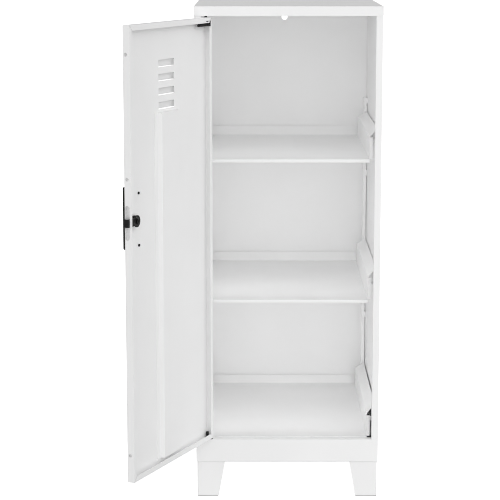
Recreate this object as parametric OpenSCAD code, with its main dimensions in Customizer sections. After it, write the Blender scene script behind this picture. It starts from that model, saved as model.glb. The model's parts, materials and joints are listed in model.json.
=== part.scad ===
// Single-door steel locker cabinet on four folded legs, with three hook-in shelves.
// The front is towards -Y and the origin is on the floor under the middle of the body.

/* [Cabinet] */
// Width of the body over its side panels
body_w = 362; // [340:1:420]
// Depth of the body from the stile faces to the back
body_d = 457; // [420:1:520]
// Height of the legs under the plinth
leg_h = 72.6; // [60:0.1:90]
// Height of the plinth fascia
plinth_h = 46.1; // [40:0.1:60]
// Height of the door opening
opening_h = 838.8; // [830:0.1:900]
// Height of the top cover's folded skirt
cap_h = 18.3; // [16:0.1:24]
// Width of each stile beside the door
stile_w = 13; // [12:0.5:15]

/* [Sheet metal] */
// Thickness of the body sheet
sheet = 0.8; // [0.6:0.1:1]
// Thickness of the leg sheet
leg_sheet = 1.2; // [1:0.1:1.6]
// Outer radius of a bend
bend_r = 1.4; // [1.2:0.1:1.8]

/* [Door] */
// Opening angle of the door as it is stored
door_open = 114.5; // [0:0.5:118]
// Thickness of the door over its folded edges
door_t = 14.5; // [14:0.1:15]
// Gap beside the door
door_gap = 1.5; // [1.3:0.1:2]
// Gap under the door
door_gap_low = 1.5; // [1.4:0.1:2]
// Gap over the door
door_gap_high = 3; // [2:0.1:4]
// How far the closed door sits behind the stile faces
door_recess = 0.9; // [0.8:0.1:1.2]
// Width of the door's return lips
lip_w = 10; // [8:0.5:11]
// Distance of the hinge axis from the door's hinge edge
pivot_in = 7.4; // [7:0.1:8]
// Distance of the hinge axis behind the stile faces
pivot_back = 5.8; // [5.5:0.1:6]

/* [Shelves] */
// Height of the lowest shelf's deck above the floor
shelf_low_z = 120; // [119.7:0.1:122]
// Pitch of the slots in the shelf rails
slot_pitch = 25.4; // [25:0.1:26]
// Number of slots between one shelf and the next
slots_between_shelves = 11; // [9:1:11]
// Height of a shelf's side wings
wing_h = 43; // [40:1:46]

/* [Lock and handle] */
// Height of the lock and of the middle of the handle
lock_z = 602; // [560:1:640]
// Distance of the lock axis from the door's free edge
lock_in = 30; // [28:0.5:32]
// Distance of the handle from the door's free edge
handle_in = 52; // [50:1:70]
// Screw pitch of the handle
handle_pitch = 96; // [96:1:96]
// How far the handle stands out from the door
handle_out = 28; // [24:1:36]

/* [Hidden] */
$fn = 48;
bend_steps = 5;
overlap = 0.01;

paint = "whitesmoke";
black = [0.08, 0.08, 0.08];

front = -body_d / 2;
back = body_d / 2;
half_w = body_w / 2;
plinth_top = leg_h + plinth_h;
opening_top = plinth_top + opening_h;
cabinet_top = opening_top + cap_h;
opening_half = half_w - stile_w;
inside_half = half_w - sheet;

// Stiles and back edges of the side panels
stile_return = 14;
rear_flange = 15;
panel_flange = 12;
back_inner = back - 2 * sheet;
back_half = inside_half - bend_r;
wall_hole_r = 6.4;
wall_hole_z = 935;
header_depth = 18;
header_lip = 6;

// Plinth, legs and feet
plinth_top_flange = 16;
plinth_low_flange = 22;
fold = 0.6;
leg_inset = 1.8;
leg_top_w = 55;
leg_foot_w = 42;
leg_plate = 50;
glide_h = 3;
glide_arm = 8;
glide_plug_h = 9;
bolt_near = 14;
bolt_far = 38;
bolt_r = 3;
bolt_hole_r = 3.3;
bolt_head_r = 5.5;
bolt_head_h = 4;
nut_h = 5;

// Shelf rails
rail_depth = 8.7;
rail_w = 18;
rail_front_y = front + 22;
rail_rear_y = front + 425;
rail_low_z = plinth_top + sheet;
rail_high_z = 762;
rail_web_x = inside_half - rail_depth;
rail_stand = 2.2;
rail_foot_h = 12;
rail_feet = 5;
slot_h = 18;
slot_w = 4;

// Rivets of the back panel
rivet_rows = 6;
rivet_low_z = 150;
rivet_pitch = 150;
rivet_r = 3;
rivet_h = 0.7;

// Shelves, measured from the deck's top face
shelf_front = front + 18.6;
shelf_rear = front + 452;
shelf_half = 160;
shelf_lip_h = 7;
shelf_lip_return = 8;
shelf_upstand = 19.5;
wing_front = front + 19.4;
wing_rear = front + 438;
flare_half = 178;
flare_rise = 10.5;
flare_front = front + 72;
flare_root = front + 32;
flare_rear = front + 421;
closure_w = 5.5;
closure_low = 1;
hook_low = 30;
hook_h = 8;
hook_drop = 8;
hook_t = 2;
hook_gap = 0.4;

// Door
door_w = 2 * (opening_half - door_gap);
door_low = plinth_top + door_gap_low;
door_high = opening_top - door_gap_high;
door_bend_r = 2;
mitre_gap = 0.6;
pivot_x = -opening_half + door_gap + pivot_in;
pivot_y = front + pivot_back;
pivot_q = pivot_back - door_recess;
flange_q = 6.4;
flange_hole_r = 3.3;
flange_hole_z = [171, 681, 903];
cam_slot_h = 63;
cam_slot_low_q = 1.1;
cam_slot_high_q = 10.9;
lip_notch_h = 34;
lip_notch_keep = 3;
strike_h = 54;
strike_near = 1.8;
strike_far = 12.6;

// Louvres
louvre_count = 4;
louvre_w = 78;
louvre_h = 15;
louvre_out = 7.5;
louvre_pitch = 25.8;
louvre_low_z = 794.2;
louvre_steps = 8;

// Door stiffener
stiffener_low = 132;
stiffener_high = 789;
stiffener_crown = 66;
stiffener_half = 50;
stiffener_depth = 9;
stiffener_slope = 4;

// Hinges
pin_r = 2.5;
pin_fit = 0.08;
bush_r = 3.4;
bush_flange_r = 4;
bush_flange_t = 1;
washer_r = 5;
washer_t = 1.2;
washer_stretch = 6;
lower_pin_top = 133.6;
lower_pin_head_r = 4.6;
lower_pin_head_h = 3;
upper_pin_top = opening_top + 3.5;
upper_tail_r = 2.8;
upper_tail_z = 940.8;
upper_tail_q = 10.3;
upper_tail_end = 50;
upper_tail_notch = [4.2, 11];
bracket_leg_notch = [4.2, 8.6];
bracket_t = 1.5;
bracket_z = 946.6;
bracket_near = 2.2;
bracket_far = 26;
bracket_q = 13.2;
bracket_windows = [[10, 14.4], [16.6, 24]];

// Lock and handle
barrel_r = 8;
barrel_end_q = 8;
rose_r = 11;
rose_t = 2.5;
lock_nut_r = 11;
lock_nut_t = 4.2;
plug_r = 6;
key_slot_w = 1.6;
key_slot_h = 7;
key_slot_depth = 5;
cam_q = 8.3;
cam_t = 2.3;
cam_hub_r = 11;
cam_h = 15;
cam_past_edge = 4.2;
cam_tip_t = 2.3;
cam_tip_q = 1.5;
cam_screw_r = 2;
cam_screw_head_r = 5.2;
cam_screw_head_h = 2.8;
handle_len = 116;
handle_w = 12;
handle_grip = 7;
handle_post = 19;
handle_corner = 3;
handle_screw_r = 2;
handle_screw_head_r = 2.5;
handle_screw_head_h = 1.8;
handle_screw_depth = 14;

// ---------- Sheet-metal helpers ----------

function unit(v) = v / norm(v);
function left_of(v) = [-v[1], v[0]];
function turned(v, a) = [v[0] * cos(a) - v[1] * sin(a), v[0] * sin(a) + v[1] * cos(a)];
function turn_between(u, w) = atan2(u[0] * w[1] - u[1] * w[0], u * w);

// Points on the reference face, each with its left-hand normal, round the bend at b
function bend_stations(a, b, c, t, r) =
    let (
        u = unit(b - a),
        turn = turn_between(u, unit(c - b)),
        side = sign(turn),
        face_r = side > 0 ? r : r - t,
        centre = b - u * face_r * tan(abs(turn) / 2) + side * face_r * left_of(u)
    )
    [for (i = [0:bend_steps])
        let (n = turned(left_of(u), turn * i / bend_steps))
        [centre - side * face_r * n, n]];

// All stations along a path whose ends are square
function sheet_stations(path, t, r) =
    let (last = len(path) - 1)
    concat(
        [[path[0], left_of(unit(path[1] - path[0]))]],
        [for (i = [1:1:last - 1]) each bend_stations(path[i - 1], path[i], path[i + 1], t, r)],
        [[path[last], left_of(unit(path[last] - path[last - 1]))]]
    );

// Section of a bent sheet: the path is one face and the metal lies to its left
module sheet_2d(path, t = sheet, r = bend_r) {
    stations = sheet_stations(path, t, r);
    polygon(concat(
        [for (s = stations) s[0]],
        [for (i = [len(stations) - 1:-1:0]) stations[i][0] + t * stations[i][1]]
    ));
}

// Cuboid between two values on each axis
module block(x, y, z) {
    translate([x[0], y[0], z[0]]) cube([x[1] - x[0], y[1] - y[0], z[1] - z[0]]);
}

// A YZ section drawn from x[0] to x[1]
module along_x(x) {
    translate([x[0], 0, 0]) rotate([90, 0, 90]) linear_extrude(x[1] - x[0]) children();
}

// An XZ section drawn from y[0] to y[1]
module along_y(y) {
    translate([0, y[1], 0]) rotate([90, 0, 0]) linear_extrude(y[1] - y[0]) children();
}

// An XY section drawn from z[0] to z[1]
module along_z(z) {
    translate([0, 0, z[0]]) linear_extrude(z[1] - z[0]) children();
}

module rod_z(r, z) { translate([0, 0, z[0]]) cylinder(r = r, h = z[1] - z[0]); }

module rod_y(r, y) { translate([0, y[1], 0]) rotate([90, 0, 0]) cylinder(r = r, h = y[1] - y[0]); }

module rod_x(r, x) { translate([x[0], 0, 0]) rotate([0, 90, 0]) cylinder(r = r, h = x[1] - x[0]); }

module rounded_2d(size, r) {
    translate([r, 0]) square([size[0] - 2 * r, size[1]]);
    translate([0, r]) square([size[0], size[1] - 2 * r]);
    for (x = [r, size[0] - r], y = [r, size[1] - r]) translate([x, y]) circle(r = r);
}

module mirrored(on) {
    if (on) mirror([1, 0, 0]) children();
    else children();
}

// ---------- Body ----------

// The left side panel: wall, stile and rear flange in one bent sheet
module side_panel() {
    along_z([plinth_top, cabinet_top - sheet]) sheet_2d([
        [-half_w + rear_flange, back],
        [-half_w, back],
        [-half_w, front],
        [-opening_half, front],
        [-opening_half, front + stile_return]
    ]);
    for (z = [plinth_top, cabinet_top - 2 * sheet])
        block(
            [-inside_half - overlap, -half_w + panel_flange],
            [front + header_depth + 2, back_inner - sheet],
            [z, z + sheet]
        );
}

module left_side_panel() { color(paint) side_panel(); }

module right_side_panel() {
    color(paint) difference() {
        mirror([1, 0, 0]) side_panel();
        block(
            [opening_half - 1, opening_half + sheet + 1],
            [front + strike_near, front + strike_far],
            [lock_z - strike_h / 2, lock_z + strike_h / 2]
        );
    }
}

module back_panel() {
    color(paint) difference() {
        block([-back_half, back_half], [back_inner, back - sheet], [plinth_top, cabinet_top - sheet]);
        translate([0, 0, wall_hole_z]) rod_y(wall_hole_r, [back_inner - 1, back]);
    }
}

module top_cover() {
    color(paint) {
        along_z([opening_top, cabinet_top - sheet]) {
            sheet_2d([
                [-half_w - sheet, back],
                [-half_w - sheet, front - sheet],
                [half_w + sheet, front - sheet],
                [half_w + sheet, back]
            ]);
            translate([-half_w - sheet, back]) square([body_w + 2 * sheet, sheet]);
        }
        block(
            [-half_w - sheet, half_w + sheet],
            [front - sheet, back + sheet],
            [cabinet_top - sheet, cabinet_top]
        );
    }
}

// Channel behind the top cover's fascia, which carries the upper hinge bush
module header_rail() {
    color(paint) difference() {
        along_x([-opening_half, opening_half]) sheet_2d([
            [front, cabinet_top - sheet],
            [front, opening_top],
            [front + header_depth, opening_top],
            [front + header_depth, opening_top + header_lip]
        ]);
        translate([pivot_x, pivot_y, 0]) rod_z(bush_r, [opening_top - 1, opening_top + sheet + 1]);
    }
}

module at_leg_bolts() {
    for (x = [-1, 1], y = [-1, 1], spot = [[bolt_near, bolt_far], [bolt_far, bolt_near]])
        translate([x * (half_w - leg_inset - spot[0]), y * (body_d / 2 - leg_inset - spot[1]), 0])
            children();
}

// Open frame under the side panels; its front is the fascia below the door
module plinth() {
    color(paint) difference() {
        union() {
            along_z([leg_h, plinth_top]) {
                sheet_2d([[-half_w, back], [-half_w, front], [half_w, front], [half_w, back]]);
                translate([-inside_half - overlap, back - sheet])
                    square([2 * inside_half + 2 * overlap, sheet]);
            }
            plinth_flange([plinth_top - sheet, plinth_top], plinth_top_flange, panel_flange);
            plinth_flange([leg_h, leg_h + sheet], plinth_low_flange, plinth_low_flange);
        }
        at_leg_bolts() rod_z(bolt_hole_r, [leg_h - 1, leg_h + 2]);
        translate([pivot_x, pivot_y, 0]) rod_z(pin_r, [plinth_top - 2, plinth_top + 1]);
        // Fold at the lower edge, which draws the line over the legs
        along_x([-half_w - 1, half_w + 1]) fold_2d(front);
        for (side = [-half_w, half_w]) along_y([front - 1, back + 1]) fold_2d(side);
    }
}

// What the bend takes off the plinth's lower edge at one outer face
module fold_2d(face) {
    inward = face > 0 ? -1 : 1;
    polygon([
        [face - inward, leg_h - 1],
        [face + inward * fold, leg_h - 1],
        [face + inward * fold, leg_h],
        [face, leg_h + fold],
        [face - inward, leg_h + fold]
    ]);
}

// Inward flange all round the plinth, one width at the front and one at the sides and back
module plinth_flange(z, front_w, side_w) {
    difference() {
        block(
            [-inside_half - overlap, inside_half + overlap],
            [front + sheet - overlap, back - sheet + overlap],
            z
        );
        block(
            [-half_w + side_w, half_w - side_w],
            [front + front_w, back - side_w],
            [z[0] - 1, z[1] + 1]
        );
    }
}

module bottom_panel() {
    color(paint) difference() {
        block(
            [-inside_half, inside_half],
            [front + sheet, back - sheet],
            [leg_h + sheet, leg_h + 2 * sheet]
        );
        at_leg_bolts() rod_z(bolt_hole_r, [leg_h, leg_h + 3]);
    }
}

// ---------- Legs ----------

// One leg in its own frame: the outer corner is at the origin and the arms run along +X and +Y
module leg_shape() {
    difference() {
        union() {
            along_z([glide_h, leg_h])
                sheet_2d([[0, leg_top_w], [0, 0], [leg_top_w, 0]], leg_sheet, 2 * leg_sheet);
            block([leg_sheet, leg_plate], [leg_sheet, leg_plate], [leg_h - leg_sheet, leg_h]);
        }
        along_y([-1, leg_sheet + 1]) leg_taper();
        mirror([1, -1, 0]) along_y([-1, leg_sheet + 1]) leg_taper();
        for (spot = [[bolt_near, bolt_far], [bolt_far, bolt_near]])
            translate([spot[0], spot[1], 0]) rod_z(bolt_hole_r, [leg_h - 3, leg_h + 1]);
    }
}

// What is cut away beyond the slanted edge of an arm
module leg_taper() {
    polygon([[leg_foot_w, 0], [leg_top_w, leg_h], [leg_top_w + 1, leg_h], [leg_top_w + 1, 0]]);
}

// Foot pad: a sole under both arms and a plug that fits inside the leg's corner
module glide_shape() {
    reach = leg_foot_w - 0.5;
    difference() {
        union() {
            block([0, reach], [0, reach], [0, glide_h]);
            block([leg_sheet, reach - 6], [leg_sheet, reach - 6], [glide_h, glide_h + glide_plug_h]);
        }
        block([glide_arm, reach + 1], [glide_arm, reach + 1], [-1, glide_h + glide_plug_h + 1]);
        block([-1, 3 * leg_sheet], [-1, 3 * leg_sheet], [glide_h, glide_h + glide_plug_h + 1]);
    }
}

// Places a leg's own frame at one corner: x and y are -1 or 1
module at_corner(x, y) {
    mirror([x > 0 ? 1 : 0, 0, 0]) mirror([0, y > 0 ? 1 : 0, 0])
        translate([-half_w + leg_inset, front + leg_inset, 0])
            children();
}

module leg(x, y) { color(paint) at_corner(x, y) leg_shape(); }

module glide(x, y) { color("silver") at_corner(x, y) glide_shape(); }

module leg_bolts() {
    color("silver") at_leg_bolts() {
        translate([0, 0, leg_h - leg_sheet - bolt_head_h])
            cylinder(r = bolt_head_r, h = bolt_head_h, $fn = 6);
        rod_z(bolt_r, [leg_h - leg_sheet - overlap, leg_h + 2 * sheet + nut_h + 2]);
    }
}

module leg_nuts() {
    color("silver") at_leg_bolts() difference() {
        translate([0, 0, leg_h + 2 * sheet]) cylinder(r = bolt_head_r, h = nut_h, $fn = 6);
        rod_z(bolt_r, [leg_h, leg_h + 2 * sheet + nut_h + 1]);
    }
}

// ---------- Shelf rails ----------

// Heights of the slots' lower edges, where a shelf's hooks rest
function slot_zs() = [
    for (i = [0:2 * slots_between_shelves + 1]) shelf_low_z + hook_low + i * slot_pitch
];

// The left-hand rail that starts at depth y: a channel whose web faces the compartment.
// It stands off the wall on a few feet, which leaves a dark gap along the wall.
module rail_shape(y) {
    difference() {
        union() {
            along_z([rail_low_z, rail_high_z]) sheet_2d([
                [-inside_half + rail_stand, y],
                [-rail_web_x, y],
                [-rail_web_x, y + rail_w],
                [-inside_half + rail_stand, y + rail_w]
            ]);
            for (i = [0:rail_feet - 1]) {
                z = rail_low_z + i * (rail_high_z - rail_low_z - rail_foot_h) / (rail_feet - 1);
                block(
                    [-inside_half, -inside_half + rail_stand + overlap],
                    [y + overlap, y + rail_w - overlap],
                    [z, z + rail_foot_h]
                );
            }
        }
        for (z = slot_zs())
            block(
                [-rail_web_x - sheet - 1, -rail_web_x + 1],
                [y + (rail_w - slot_w) / 2, y + (rail_w + slot_w) / 2],
                [z, z + slot_h]
            );
    }
}

module rail(y, right) { color(paint) mirrored(right) rail_shape(y); }

// ---------- Rivets ----------

// Dome heads on the back that hold the back panel to the side panels' rear flanges
module back_rivets() {
    color(paint)
        for (x = [-1, 1], i = [0:rivet_rows - 1])
            translate([x * (half_w - rear_flange / 2), back, rivet_low_z + i * rivet_pitch])
                rotate([-90, 0, 0]) cylinder(r1 = rivet_r, r2 = rivet_r * 0.6, h = rivet_h);
}

// ---------- Hinge parts on the body ----------

module lower_hinge_pin() {
    color(black) translate([pivot_x, pivot_y, 0]) {
        rod_z(pin_r, [plinth_top - sheet, lower_pin_top]);
        rod_z(lower_pin_head_r, [plinth_top - sheet - lower_pin_head_h, plinth_top - sheet]);
    }
}

// Oblong pad under the door, stretched towards the middle of the opening
module hinge_washer() {
    color(black) translate([pivot_x, pivot_y, plinth_top]) difference() {
        union() {
            for (x = [0, washer_stretch]) translate([x, 0, 0]) rod_z(washer_r, [0, washer_t]);
            block([0, washer_stretch], [-washer_r, washer_r], [0, washer_t]);
        }
        rod_z(pin_r, [-1, washer_t + 1]);
    }
}

// Flanged bush whose tube fills a sheet's hole from z[0] to z[1]; the flange sits at flange_z
module hinge_bush(z, flange_z) {
    difference() {
        union() {
            rod_z(bush_r, z);
            rod_z(bush_flange_r, [flange_z, flange_z + bush_flange_t]);
        }
        rod_z(pin_r + pin_fit, [z[0] - 1, z[1] + 1]);
    }
}

module upper_hinge_bush() {
    color(black) translate([pivot_x, pivot_y, 0])
        hinge_bush([opening_top, opening_top + sheet + 2], opening_top + sheet);
}

// ---------- Door ----------
// Door pieces are drawn with x from the hinge edge, y from the outer face and z from the floor

module at_door() {
    translate([pivot_x, pivot_y, 0]) rotate([0, 0, -door_open]) translate([-pivot_in, -pivot_q, 0])
        children();
}

// One return lip as a trapezium in its own plane, mitred at both ends
module lip_2d(length) {
    polygon([
        [0, 0], [length, 0], [length - lip_w, lip_w], [lip_w, lip_w]
    ]);
}

module door_lips() {
    height = door_high - door_low;
    y = [door_t - sheet, door_t];
    along_y(y) {
        translate([mitre_gap, door_low]) lip_2d(door_w - 2 * mitre_gap);
        translate([door_w - mitre_gap, door_high]) rotate(180) lip_2d(door_w - 2 * mitre_gap);
        translate([door_w, door_low + mitre_gap]) rotate(90) lip_2d(height - 2 * mitre_gap);
        translate([0, door_high - mitre_gap]) rotate(-90) lip_2d(height - 2 * mitre_gap);
    }
}

// Solid hood with quarter-round ends; it stands on its open lower edge at the origin
module louvre_form(out, width, height) {
    straight = width - 2 * out;
    translate([-straight / 2, 0, 0]) rotate([90, 0, 90]) linear_extrude(straight)
        mirror([1, 0, 0]) louvre_quarter(out, height);
    for (x = [-1, 1]) translate([x * straight / 2, 0, 0]) intersection() {
        rotate_extrude() louvre_quarter(out, height);
        translate([x > 0 ? 0 : -out, -out, 0]) cube([out, out, height]);
    }
}

module louvre_quarter(out, height) {
    polygon(concat(
        [[0, 0]],
        [for (i = [0:louvre_steps]) [
            out * cos(90 * i / louvre_steps),
            height * sin(90 * i / louvre_steps)
        ]]
    ));
}

module at_louvres() {
    for (i = [0:louvre_count - 1])
        translate([door_w / 2, 0, louvre_low_z + i * louvre_pitch]) children();
}

// Pressed louvre: a hood on the outside of the skin with an opening behind it
module louvre_hood() { louvre_form(louvre_out, louvre_w, louvre_h); }

module louvre_hollow() {
    translate([0, overlap, -overlap])
        louvre_form(louvre_out - sheet, louvre_w - 2 * sheet, louvre_h - sheet);
    block(
        [-louvre_w / 2 + louvre_out, louvre_w / 2 - louvre_out],
        [-overlap, sheet + 1],
        [0, louvre_h - 2 * sheet]
    );
}

module door_panel() {
    color(paint) at_door() difference() {
        union() {
            along_z([door_low, door_high]) sheet_2d(
                [[0, door_t], [0, 0], [door_w, 0], [door_w, door_t]], sheet, door_bend_r
            );
            for (z = [door_low, door_high - sheet])
                block([sheet / 2, door_w - sheet / 2], [sheet / 2, door_t], [z, z + sheet]);
            door_lips();
            at_louvres() louvre_hood();
        }
        at_louvres() louvre_hollow();
        door_cuts();
    }
}

module door_cuts() {
    translate([pivot_in, pivot_q, 0]) {
        rod_z(bush_r, [door_low - 1, door_low + sheet + 1]);
        rod_z(pin_r + 2 * pin_fit, [door_high - sheet - 1, door_high + 1]);
    }
    // Cam slot with round ends, and the round holes, in the free edge
    for (z = [-1, 1])
        translate([0, (cam_slot_low_q + cam_slot_high_q) / 2, lock_z + z * (cam_slot_h / 2 - slot_r())])
            rod_x(slot_r(), [door_w - 2, door_w + 1]);
    block(
        [door_w - 2, door_w + 1],
        [cam_slot_low_q, cam_slot_high_q],
        [lock_z - cam_slot_h / 2 + slot_r(), lock_z + cam_slot_h / 2 - slot_r()]
    );
    for (z = flange_hole_z) translate([0, flange_q, z]) rod_x(flange_hole_r, [door_w - 2, door_w + 1]);
    // Room for the lock behind the lip
    block(
        [door_w - lip_w - 1, door_w - lip_notch_keep],
        [door_t - sheet - 1, door_t + 1],
        [lock_z - lip_notch_h / 2, lock_z + lip_notch_h / 2]
    );
    translate([door_w - lock_in, 0, lock_z]) rod_y(barrel_r, [-1, sheet + 1]);
    at_handle_screws() rod_y(handle_screw_r, [-1, sheet + 1]);
    // Openings in the lips at the hinge bracket: its leg, the pin's tail, and two windows over its plate
    for (cut = concat(
        [[bracket_leg_notch, upper_tail_z, bracket_z + bracket_t + 0.5]],
        [[upper_tail_notch, upper_tail_z - upper_tail_r - 0.6, upper_tail_z + upper_tail_r + 1.8]],
        [for (span = bracket_windows) [span, bracket_z - 0.4, bracket_z + bracket_t + 0.6]]
    ))
        block(cut[0], [door_t - sheet - 1, door_t + 1], [cut[1], cut[2]]);
}

function slot_r() = (cam_slot_high_q - cam_slot_low_q) / 2;

// Hat-section channel on the inside of the skin
module door_stiffener() {
    crown = stiffener_crown / 2;
    foot = crown + stiffener_slope;
    color(paint) at_door() translate([door_w / 2, 0, 0]) {
        along_z([stiffener_low, stiffener_high]) sheet_2d([
            [-stiffener_half, sheet],
            [-foot, sheet],
            [-crown, stiffener_depth - sheet],
            [crown, stiffener_depth - sheet],
            [foot, sheet],
            [stiffener_half, sheet]
        ]);
        // Tabs that close both ends
        for (z = [stiffener_low, stiffener_high - sheet]) along_z([z, z + sheet]) polygon([
            [-foot, sheet], [foot, sheet],
            [crown, stiffener_depth - overlap], [-crown, stiffener_depth - overlap]
        ]);
    }
}

module lower_hinge_bush() {
    color(black) at_door() translate([pivot_in, pivot_q, 0])
        hinge_bush([door_low, door_low + sheet + 3], door_low + sheet);
}

// Guide for the upper hinge pin: a plate under the top edge with a leg down the hinge edge
module upper_hinge_bracket() {
    color(black) at_door() difference() {
        union() {
            block([bracket_near, bracket_far], [sheet, bracket_q], [bracket_z, bracket_z + bracket_t]);
            block(
                [bracket_near, bracket_near + bracket_t],
                [sheet, bracket_q],
                [upper_tail_z - upper_tail_r, bracket_z + bracket_t]
            );
        }
        translate([pivot_in, pivot_q, 0]) rod_z(pin_r + pin_fit, [bracket_z - 1, bracket_z + bracket_t + 1]);
    }
}

// Bent pin: it stands on the hinge axis, turns inwards, and ends in a long finger tail
module upper_hinge_pin() {
    color(black) at_door() {
        translate([pivot_in, pivot_q, 0]) rod_z(pin_r, [upper_tail_z, upper_pin_top]);
        translate([pivot_in, 0, upper_tail_z]) {
            rod_y(upper_tail_r, [pivot_q, upper_tail_q]);
            translate([0, pivot_q, 0]) sphere(r = upper_tail_r);
            translate([0, upper_tail_q, 0]) sphere(r = upper_tail_r);
        }
        translate([0, upper_tail_q, upper_tail_z]) rod_x(upper_tail_r, [pivot_in, upper_tail_end]);
    }
}

// ---------- Handle and lock ----------

module at_handle_screws() {
    for (z = [-1, 1])
        translate([door_w - handle_in, 0, lock_z + z * handle_pitch / 2]) children();
}

// Bow handle: one side outline given a width, with a screw hole in each post
module pull_handle() {
    gap = handle_out - handle_grip;
    color(black) at_door() difference() {
        translate([door_w - handle_in - handle_w / 2, -handle_out, lock_z - handle_len / 2])
            along_x([0, handle_w]) difference() {
                union() {
                    rounded_2d([handle_out, handle_len], handle_corner);
                    translate([handle_out / 2, 0]) square([handle_out / 2, handle_len]);
                }
                translate([handle_grip, handle_post])
                    rounded_2d([gap + handle_corner, handle_len - 2 * handle_post], handle_corner);
            }
        at_handle_screws() rod_y(handle_screw_r, [-handle_screw_depth, 1]);
    }
}

module handle_screws() {
    color(black) at_door() at_handle_screws() {
        rod_y(handle_screw_r, [-handle_screw_depth + 1, sheet + overlap]);
        difference() {
            rod_y(handle_screw_head_r, [sheet, sheet + handle_screw_head_h]);
            cross_recess(sheet + handle_screw_head_h, 3, 0.7, 1.1);
        }
    }
}

// Cross-shaped driver recess cut into a screw head whose top is at y
module cross_recess(y, span, width, depth) {
    for (a = [0, 90]) rotate([0, a, 0])
        block([-span / 2, span / 2], [y - depth, y + 1], [-width / 2, width / 2]);
}

module at_lock() { at_door() translate([door_w - lock_in, 0, lock_z]) children(); }

module lock_body() {
    color(black) at_lock() difference() {
        union() {
            rod_y(rose_r, [-rose_t, 0]);
            rod_y(barrel_r, [-overlap, barrel_end_q]);
        }
        rod_y(plug_r + pin_fit, [-rose_t - 1, barrel_end_q + 1]);
    }
}

module lock_nut() {
    color(black) at_lock() difference() {
        translate([0, sheet + lock_nut_t, 0]) rotate([90, 0, 0])
            cylinder(r = lock_nut_r, h = lock_nut_t, $fn = 6);
        rod_y(barrel_r, [0, sheet + lock_nut_t + 1]);
    }
}

// Turning cylinder of the lock, with its keyway on the outside
module lock_plug() {
    color("silver") at_lock() difference() {
        rod_y(plug_r, [-rose_t - 0.5, cam_q]);
        block(
            [-key_slot_w / 2, key_slot_w / 2],
            [-rose_t - 1, -rose_t + key_slot_depth],
            [-key_slot_h / 2, key_slot_h / 2]
        );
        rod_y(cam_screw_r, [cam_q - 6, cam_q + 1]);
    }
}

// Flat arm behind the plug whose end is folded outwards, through the slot in the free edge
module lock_cam() {
    tip = lock_in + cam_past_edge;
    color(black) at_lock() difference() {
        union() {
            rod_y(cam_hub_r, [cam_q, cam_q + cam_t]);
            block([0, tip], [cam_q, cam_q + cam_t], [-cam_h / 2, cam_h / 2]);
            block([tip - cam_tip_t, tip], [cam_tip_q, cam_q + cam_t], [-cam_h / 2, cam_h / 2]);
        }
        rod_y(cam_screw_r, [cam_q - 1, cam_q + cam_t + 1]);
    }
}

module cam_screw() {
    color(black) at_lock() difference() {
        union() {
            rod_y(cam_screw_r, [cam_q - 5, cam_q + cam_t + overlap]);
            rod_y(cam_screw_head_r, [cam_q + cam_t, cam_q + cam_t + cam_screw_head_h]);
        }
        cross_recess(cam_q + cam_t + cam_screw_head_h, 6, 1.2, 1.6);
    }
}

// ---------- Shelves ----------
// A shelf is drawn with z = 0 at its deck's top face

// Front and rear folds in one section: upstand, deck, rolled front lip
module shelf_deck() {
    along_x([-shelf_half + sheet / 2, shelf_half - sheet / 2]) sheet_2d([
        [shelf_rear, shelf_upstand],
        [shelf_rear, 0],
        [shelf_front, 0],
        [shelf_front, -shelf_lip_h],
        [shelf_front + shelf_lip_return, -shelf_lip_h]
    ]);
}

// Right-hand wing: an upright along the deck's edge, a flare over it and a front closure
module shelf_wing() {
    upright = [
        [shelf_half - panel_flange, -sheet],
        [shelf_half, -sheet],
        [shelf_half, wing_h]
    ];
    along_y([wing_front, wing_rear]) sheet_2d(upright);
    difference() {
        along_y([flare_root, flare_rear]) sheet_2d(concat(upright, [[flare_half, wing_h + flare_rise]]));
        translate([0, 0, wing_h - sheet]) linear_extrude(flare_rise + 3 * sheet) polygon([
            [shelf_half + sheet, flare_root - 1],
            [shelf_half + sheet, flare_root],
            [flare_half + 1, flare_front],
            [flare_half + 1, flare_root - 1]
        ]);
    }
    block(
        [shelf_half - sheet, shelf_half + closure_w],
        [wing_front, wing_front + sheet],
        [closure_low, wing_h]
    );
    for (y = [rail_front_y, rail_rear_y]) translate([0, y + rail_w / 2, 0]) shelf_hook();
}

// Tab that reaches through the rail's slot and drops behind its web
module shelf_hook() {
    y = [-hook_t / 2, hook_t / 2];
    lip_x = rail_web_x + sheet + hook_gap;
    block([shelf_half - sheet, lip_x + hook_t], y, [hook_low, hook_low + hook_h]);
    block([lip_x, lip_x + hook_t], y, [hook_low - hook_drop, hook_low + hook_h]);
}

module shelf(level) {
    color(paint) translate([0, 0, shelf_low_z + level * slots_between_shelves * slot_pitch]) {
        shelf_deck();
        shelf_wing();
        mirror([1, 0, 0]) shelf_wing();
    }
}

// ---------- Named pieces ----------

module leg_front_left() { leg(-1, -1); }
module leg_front_right() { leg(1, -1); }
module leg_rear_left() { leg(-1, 1); }
module leg_rear_right() { leg(1, 1); }
module glide_front_left() { glide(-1, -1); }
module glide_front_right() { glide(1, -1); }
module glide_rear_left() { glide(-1, 1); }
module glide_rear_right() { glide(1, 1); }
module rail_front_left() { rail(rail_front_y, false); }
module rail_front_right() { rail(rail_front_y, true); }
module rail_rear_left() { rail(rail_rear_y, false); }
module rail_rear_right() { rail(rail_rear_y, true); }
module shelf_lower() { shelf(0); }
module shelf_middle() { shelf(1); }
module shelf_upper() { shelf(2); }

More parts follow.
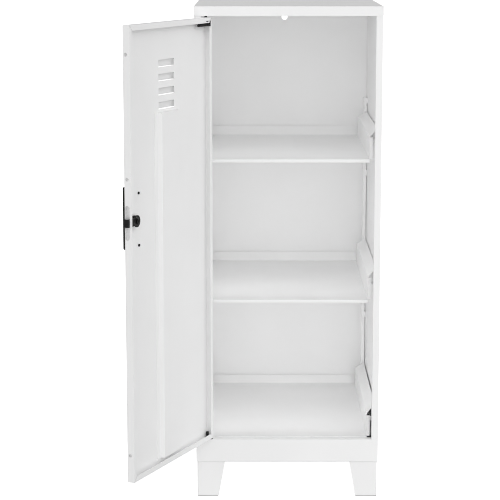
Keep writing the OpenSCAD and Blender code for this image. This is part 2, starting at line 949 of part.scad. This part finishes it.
left_side_panel();
right_side_panel();
back_panel();
top_cover();
header_rail();
plinth();
bottom_panel();
leg_front_left();
leg_front_right();
leg_rear_left();
leg_rear_right();
glide_front_left();
glide_front_right();
glide_rear_left();
glide_rear_right();
leg_bolts();
leg_nuts();
rail_front_left();
rail_front_right();
rail_rear_left();
rail_rear_right();
back_rivets();
lower_hinge_pin();
hinge_washer();
upper_hinge_bush();
door_panel();
door_stiffener();
lower_hinge_bush();
upper_hinge_bracket();
pull_handle();
handle_screws();
lock_body();
lock_nut();
upper_hinge_pin();
lock_plug();
lock_cam();
cam_screw();
shelf_lower();
shelf_middle();
shelf_upper();
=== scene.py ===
import json
import math

import bpy
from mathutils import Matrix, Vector


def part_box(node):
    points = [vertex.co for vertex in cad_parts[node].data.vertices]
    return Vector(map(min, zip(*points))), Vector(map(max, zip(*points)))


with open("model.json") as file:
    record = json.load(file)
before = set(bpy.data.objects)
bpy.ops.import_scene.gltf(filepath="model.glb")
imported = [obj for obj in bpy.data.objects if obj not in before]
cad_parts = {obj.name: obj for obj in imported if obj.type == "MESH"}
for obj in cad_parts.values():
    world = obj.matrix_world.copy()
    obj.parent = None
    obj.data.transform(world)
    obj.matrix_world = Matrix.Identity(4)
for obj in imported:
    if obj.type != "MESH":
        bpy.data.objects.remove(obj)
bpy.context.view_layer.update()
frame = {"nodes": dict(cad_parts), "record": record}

MM = 0.001
NODES = frame["nodes"]
SLOT_OF = {s["node"]: s["material_slot"] for s in frame["record"]["subparts"]}


# ---------- Materials ----------

# Most of a noise texture's values lie between these two
NOISE_LOW, NOISE_HIGH = 0.3, 0.7
# The roughness spots are this many times larger than the grain, and both have this much detail
SPOTS_TO_GRAIN = 5
GRAIN_DETAIL = 2


def mapped(tree, source, low, high):
    """A Map Range node from the span of a noise to low..high."""
    node = tree.nodes.new("ShaderNodeMapRange")
    node.inputs["From Min"].default_value = NOISE_LOW
    node.inputs["From Max"].default_value = NOISE_HIGH
    node.inputs["To Min"].default_value = low
    node.inputs["To Max"].default_value = high
    tree.links.new(source, node.inputs["Value"])
    return node.outputs["Result"]


def noise(tree, coords, scale, detail):
    """A noise of so many features per metre in the piece's own coordinates."""
    node = tree.nodes.new("ShaderNodeTexNoise")
    node.inputs["Scale"].default_value = scale
    node.inputs["Detail"].default_value = detail
    tree.links.new(coords, node.inputs["Vector"])
    return node.outputs["Fac"]


def surface(name, dark, light, rough, grain, tone=(6, 3), **fixed):
    """A finish whose tone drifts between two colours, with a roughness range and a fine relief.

    grain is (features per metre, depth in metres, strength) and tone is (features per metre,
    detail); fixed sets the shader's own sockets.
    """
    mat = bpy.data.materials.new(name)
    mat.use_nodes = True
    tree = mat.node_tree
    shader = tree.nodes["Principled BSDF"]
    coords = tree.nodes.new("ShaderNodeTexCoord").outputs["Object"]
    drift = mapped(tree, noise(tree, coords, *tone), 0, 1)
    mix = tree.nodes.new("ShaderNodeMix")
    mix.data_type = "RGBA"
    mix.inputs["A"].default_value = (*dark, 1)
    mix.inputs["B"].default_value = (*light, 1)
    tree.links.new(drift, mix.inputs["Factor"])
    tree.links.new(mix.outputs["Result"], shader.inputs["Base Color"])
    fineness, depth, strength = grain
    spots = noise(tree, coords, fineness / SPOTS_TO_GRAIN, GRAIN_DETAIL)
    tree.links.new(mapped(tree, spots, *rough), shader.inputs["Roughness"])
    bump = tree.nodes.new("ShaderNodeBump")
    bump.inputs["Strength"].default_value = strength
    bump.inputs["Distance"].default_value = depth
    tree.links.new(noise(tree, coords, fineness, GRAIN_DETAIL), bump.inputs["Height"])
    tree.links.new(bump.outputs["Normal"], shader.inputs["Normal"])
    for socket, value in fixed.items():
        shader.inputs[socket.replace("_", " ")].default_value = value
    return mat


def grey(value):
    """A neutral colour."""
    return (value, value, value)


FINISH = {
    "white_powder_coat": surface(
        "powder coat", grey(0.875), grey(0.905), (0.36, 0.5), (900, 0.00006, 0.35)
    ),
    "black_steel": surface(
        "blackened steel", grey(0.004), grey(0.012), (0.28, 0.45), (1400, 0.00004, 0.4), (90, 3),
        Specular_IOR_Level=0.2,
    ),
    "black_handle": surface(
        "moulded black", grey(0.006), grey(0.012), (0.34, 0.5), (2200, 0.00005, 0.5), (40, 2),
        Specular_IOR_Level=0.25,
    ),
    "black_nylon": surface(
        "black nylon", grey(0.006), grey(0.014), (0.5, 0.62), (1500, 0.00004, 0.3), (60, 2),
        Specular_IOR_Level=0.25,
    ),
    "grey_plastic": surface(
        "foot plastic", grey(0.5), grey(0.58), (0.45, 0.6), (1300, 0.00005, 0.35), (50, 3)
    ),
    "zinc_steel": surface(
        "zinc plate", grey(0.5), (0.66, 0.67, 0.7), (0.22, 0.42), (1600, 0.00003, 0.3), (260, 4),
        Metallic=1.0,
    ),
}


# ---------- Carried-over CAD nodes ----------

# Edge rounding in millimetres for the nodes whose edges are moulded, turned or rolled
EDGE = {
    "pull_handle": 1.8, "handle_screws": 0.7, "cam_screw": 0.6,
    "lock_body": 0.7, "lock_nut": 0.5, "lock_plug": 0.3, "lock_cam": 0.4,
    "upper_hinge_bracket": 0.3, "lower_hinge_pin": 0.4, "upper_hinge_pin": 0.4,
    "hinge_washer": 0.25, "leg_bolts": 0.6, "leg_nuts": 0.5, "back_rivets": 0.25,
    "glide_front_left": 0.8, "glide_front_right": 0.8,
    "glide_rear_left": 0.8, "glide_rear_right": 0.8,
}
# The same for every other node, all folded from sheet
SHEET_EDGE = 0.2
# Folds sharper than this are rounded, which leaves the facets of curved faces alone
SHARP = math.radians(32)
EDGE_STEPS = 2
# Corners closer than this many metres are one corner
WELD_GAP = 1e-6


def soften(obj, width):
    """Welds the node's split corners and rounds its edges, which then catch the light."""
    weld = obj.modifiers.new("weld", "WELD")
    weld.merge_threshold = WELD_GAP
    bevel = obj.modifiers.new("edges", "BEVEL")
    bevel.width = width * MM
    bevel.segments = EDGE_STEPS
    bevel.limit_method = "ANGLE"
    bevel.angle_limit = SHARP
    bevel.use_clamp_overlap = True


for name, obj in NODES.items():
    obj.material_slots[0].material = FINISH[SLOT_OF[name]]
    soften(obj, EDGE.get(name, SHEET_EDGE))


# ---------- Studio ----------

# Brightness of the sky everywhere, and the soft boxes in it: direction, how tight each one is,
# and the brightness that it adds
AMBIENT = 0.3
SOFT_BOXES = (
    ((0.75, -0.6, 0.3), 4, 1.42),
    ((-0.45, -0.9, 0.25), 4, 1.2),
    ((0, 0, 1), 4, 0.5),
)
# Watts of the soft panel in each compartment's opening, from the lowest up
FILLS = (0.17, 0.155, 0.115)
FILL_SPREAD = math.radians(140)
# The panel is this much smaller than its compartment in all, and this far behind the shelf's front
FILL_GAP_X, FILL_GAP_Z, FILL_INSET = 30 * MM, 60 * MM, 12 * MM
FLOOR_SIZE = 120
FLOOR_GREY = 0.88
FLOOR_ROUGH = 0.9
FLOOR_GLOW = 0.75
# The photograph's viewing angle, from a camera tilted down in place of the photograph's shift:
# millimetres, metres and radians
LENS = 129.74
CAMERA_AT = (-0.0685, -3.703, 1.1158)
TILT_DOWN, PAN = math.radians(10.01), math.radians(0.093)
# Light bounces often between the white walls of a compartment
DIFFUSE_BOUNCES = 12
PIXEL_FILTER = 1.0


def math_node(tree, operation, *values):
    """A Math node whose inputs are numbers or other nodes' outputs."""
    node = tree.nodes.new("ShaderNodeMath")
    node.operation = operation
    for socket, value in zip(node.inputs, values):
        if isinstance(value, (int, float)):
            socket.default_value = value
        else:
            tree.links.new(value, socket)
    return node.outputs["Value"]


def studio():
    """A white floor, and a sky that is soft boxes for the object and white for the camera."""
    bpy.ops.mesh.primitive_plane_add(size=FLOOR_SIZE)
    floor = bpy.context.object
    floor.name = "floor"
    mat = bpy.data.materials.new("floor white")
    mat.use_nodes = True
    shader = mat.node_tree.nodes["Principled BSDF"]
    shader.inputs["Base Color"].default_value = (*grey(FLOOR_GREY), 1)
    shader.inputs["Roughness"].default_value = FLOOR_ROUGH
    shader.inputs["Emission Color"].default_value = (1, 1, 1, 1)
    shader.inputs["Emission Strength"].default_value = FLOOR_GLOW
    floor.data.materials.append(mat)
    # The floor shows white under the object, and the soft boxes alone light the object
    floor.visible_diffuse = False
    floor.visible_glossy = False

    world = bpy.data.worlds.new("studio")
    world.use_nodes = True
    bpy.context.scene.world = world
    tree = world.node_tree
    way = tree.nodes.new("ShaderNodeTexCoord").outputs["Generated"]
    total = AMBIENT
    for direction, tightness, brightness in SOFT_BOXES:
        dot = tree.nodes.new("ShaderNodeVectorMath")
        dot.operation = "DOT_PRODUCT"
        dot.inputs[1].default_value = Vector(direction).normalized()
        tree.links.new(way, dot.inputs[0])
        facing = math_node(tree, "MAXIMUM", dot.outputs["Value"], 0)
        glow = math_node(tree, "POWER", facing, tightness)
        total = math_node(tree, "MULTIPLY_ADD", glow, brightness, total)
    # Behind the floor's edge the camera sees plain white, whatever the soft boxes do there
    seen = tree.nodes.new("ShaderNodeLightPath").outputs["Is Camera Ray"]
    shown = tree.nodes.new("ShaderNodeMix")
    shown.inputs["B"].default_value = 1.0
    tree.links.new(seen, shown.inputs["Factor"])
    tree.links.new(total, shown.inputs["A"])
    tree.links.new(shown.outputs["Result"], tree.nodes["Background"].inputs["Strength"])
    tree.nodes["Background"].inputs["Color"].default_value = (1, 1, 1, 1)


def opening_fills():
    """A soft panel just behind the front of each compartment, shining to its back."""
    low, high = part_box("back_panel")
    shelves = [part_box(name) for name in ("shelf_lower", "shelf_middle", "shelf_upper")]
    ends = [box[0].z for box in shelves[1:]] + [high.z]
    for (floor, _), end, watts in zip(shelves, ends, FILLS):
        data = bpy.data.lights.new("fill", "AREA")
        data.shape = "RECTANGLE"
        data.size = high.x - low.x - FILL_GAP_X
        data.size_y = (end - floor.z) - FILL_GAP_Z
        data.energy = watts
        data.spread = FILL_SPREAD
        light = bpy.data.objects.new("fill", data)
        bpy.context.scene.collection.objects.link(light)
        light.location = (0, floor.y + FILL_INSET, (floor.z + end) / 2)
        light.rotation_euler = (math.radians(90), 0, 0)
        light.visible_glossy = False


def camera():
    """The photograph's camera."""
    data = bpy.data.cameras.new("camera")
    data.lens = LENS
    cam = bpy.data.objects.new("camera", data)
    bpy.context.scene.collection.objects.link(cam)
    cam.location = CAMERA_AT
    cam.rotation_euler = (math.radians(90) - TILT_DOWN, 0, PAN)
    bpy.context.scene.camera = cam


bpy.context.scene.view_settings.view_transform = "Standard"
bpy.context.scene.cycles.diffuse_bounces = DIFFUSE_BOUNCES
bpy.context.scene.cycles.filter_width = PIXEL_FILTER
studio()
opening_fills()
camera()
